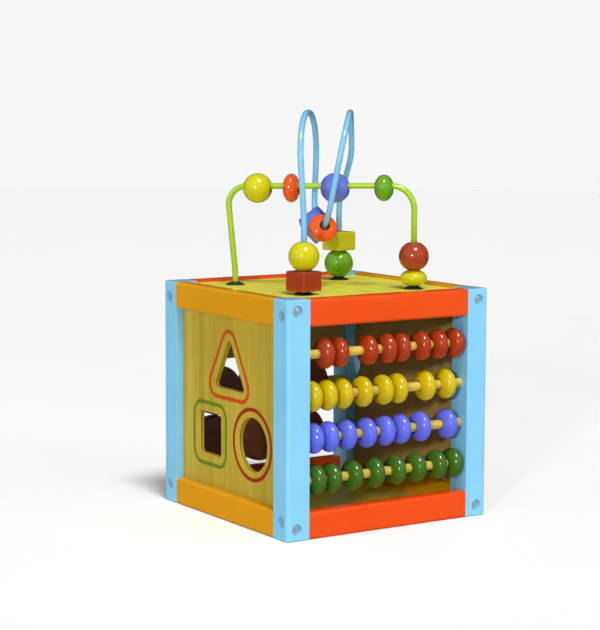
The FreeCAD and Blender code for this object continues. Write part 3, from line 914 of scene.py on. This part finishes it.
class CUBE_OT_bend_wires(bpy.types.Operator):
    """Bends the arch and the looped wire of the maze"""

    bl_idname = "cube.bend_wires"
    bl_label = "Bend wires"

    def execute(self, context):
        paints = context.scene.cube_paints
        radius = context.scene.cube_sizes.wire_radius
        low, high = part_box("maze_wires")
        levels = {FOOT: low.z / MM, TOP: (high.z - radius) / MM}
        wires = (
            ("arch_wire", ARCH_ROUTE, ARCH_BENDS, paints.green_wire, "green_wire_enamel"),
            ("loop_wire", LOOP_ROUTE, LOOP_BENDS, paints.blue_wire, "blue_wire_enamel"),
        )
        for name, route, bends, colour, slot in wires:
            corners = [
                maze_point(along, across, levels.get(height, height))
                for along, across, height in route
            ]
            path = bent_path(corners, bends)
            piece = tube(name, path, radius)
            piece.data.materials.append(enamel(f"{name}_enamel", colour))
            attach(piece, ROOT)
            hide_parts("maze_wires")
        return {"FINISHED"}


class CUBE_OT_finish_hardware(bpy.types.Operator):
    """Finishes the wire grommets and the screws"""

    bl_idname = "cube.finish_hardware"
    bl_label = "Finish hardware"

    def execute(self, context):
        paints = context.scene.cube_paints
        give("wire_grommets", grommet_rubber(paints))
        give("frame_screws", screw_metal(paints))
        return {"FINISHED"}


class CUBE_OT_set_stage(bpy.types.Operator):
    """Sets the floor, the camera and the studio light"""

    bl_idname = "cube.set_stage"
    bl_label = "Set stage"

    def execute(self, context):
        stage = context.scene.cube_stage
        self.lay_floor(stage)
        self.place_camera(context.scene, stage)
        self.hang_lights()
        self.light_world(context.scene)
        context.scene.view_settings.view_transform = "Standard"
        return {"FINISHED"}

    def lay_floor(self, stage):
        mesh = bmesh.new()
        bmesh.ops.create_circle(mesh, cap_ends=True, segments=96, radius=stage.floor_radius)
        data = bpy.data.meshes.new("studio_floor")
        mesh.to_mesh(data)
        mesh.free()
        floor = bpy.data.objects.new("studio_floor", data)
        floor.location.z = CAD_BOX[0].z - FLOOR_GAP
        bpy.context.scene.collection.objects.link(floor)
        floor.data.materials.append(pale_ground())
        floor.visible_glossy = False

    def place_camera(self, scene, stage):
        away = Vector((-math.sin(stage.azimuth), -math.cos(stage.azimuth), 0))
        away *= math.cos(stage.elevation)
        away.z = math.sin(stage.elevation)
        data = bpy.data.cameras.new("studio_camera")
        data.lens = stage.lens
        camera = bpy.data.objects.new("studio_camera", data)
        camera.location = Vector(stage.target) + away * stage.distance
        facing = (-away).to_track_quat("-Z", "Y")
        camera.rotation_mode = "QUATERNION"
        camera.rotation_quaternion = facing @ Matrix.Rotation(stage.roll, 3, "Z").to_quaternion()
        scene.collection.objects.link(camera)
        scene.camera = camera

    def hang_lights(self):
        middle = (CAD_BOX[0] + CAD_BOX[1]) / 2
        for name, place, kind, size, power in LAMPS:
            data = bpy.data.lights.new(name, kind)
            setattr(data, "angle" if kind == "SUN" else "size", size)
            data.energy = power
            lamp = bpy.data.objects.new(name, data)
            lamp.location = middle + Vector(place)
            lamp.rotation_euler = (-Vector(place)).to_track_quat("-Z", "Y").to_euler()
            bpy.context.scene.collection.objects.link(lamp)

    def light_world(self, scene):
        """A near-white backdrop for the camera and a dimmer room for the light."""
        world = bpy.data.worlds.new("studio")
        world.use_nodes = True
        world.node_tree.nodes.clear()
        sheet = Sheet(world.node_tree)
        way = sheet.add("ShaderNodeTexCoord").outputs["Generated"]
        ahead = sheet.vector("DOT_PRODUCT", way, (-0.38, -0.55, 0.74))
        glow = sheet.remap(ahead, -0.5, 0.9, 0.03, 0.36)
        room = sheet.add("ShaderNodeBackground", {"Color": (0.94, 0.95, 0.96), "Strength": glow})
        backdrop = sheet.add("ShaderNodeBackground", {"Color": (0.925, 0.93, 0.92)})
        seen = sheet.add("ShaderNodeLightPath").outputs["Is Camera Ray"]
        inputs = {0: seen, 1: room.outputs[0], 2: backdrop.outputs[0]}
        both = sheet.add("ShaderNodeMixShader", inputs)
        sheet.add("ShaderNodeOutputWorld", {"Surface": both.outputs[0]})
        scene.world = world


class CUBE_PT_workshop(bpy.types.Panel):
    """The cube's settings and steps"""

    bl_idname = "CUBE_PT_workshop"
    bl_label = "Activity Cube"
    bl_space_type = "VIEW_3D"
    bl_region_type = "UI"
    bl_category = "Activity Cube"

    def draw(self, context):
        for group in SETTINGS:
            settings = getattr(context.scene, group)
            box = self.layout.box()
            for name in settings.__annotations__:
                box.prop(settings, name)
        for operator in OPERATORS:
            self.layout.operator(operator.bl_idname)


# In the order in which they run.
OPERATORS = (
    CUBE_OT_paint_frame, CUBE_OT_finish_boards, CUBE_OT_finish_dowels, CUBE_OT_paint_abacus,
    CUBE_OT_finish_discs, CUBE_OT_paint_maze_beads, CUBE_OT_bend_wires, CUBE_OT_finish_hardware,
    CUBE_OT_set_stage,
)
SETTINGS = {"cube_paints": CubePaints, "cube_sizes": CubeSizes, "cube_stage": CubeStage}


def register():
    for settings in SETTINGS.values():
        bpy.utils.register_class(settings)
    for name, settings in SETTINGS.items():
        setattr(bpy.types.Scene, name, bpy.props.PointerProperty(type=settings))
    for operator in OPERATORS:
        bpy.utils.register_class(operator)
    bpy.utils.register_class(CUBE_PT_workshop)


def unregister():
    bpy.utils.unregister_class(CUBE_PT_workshop)
    for operator in reversed(OPERATORS):
        bpy.utils.unregister_class(operator)
    for name, settings in SETTINGS.items():
        delattr(bpy.types.Scene, name)
        bpy.utils.unregister_class(settings)


def main():
    register()
    for operator in OPERATORS:
        group, name = operator.bl_idname.split(".")
        getattr(getattr(bpy.ops, group), name)()


if __name__ == "__main__":
    main()
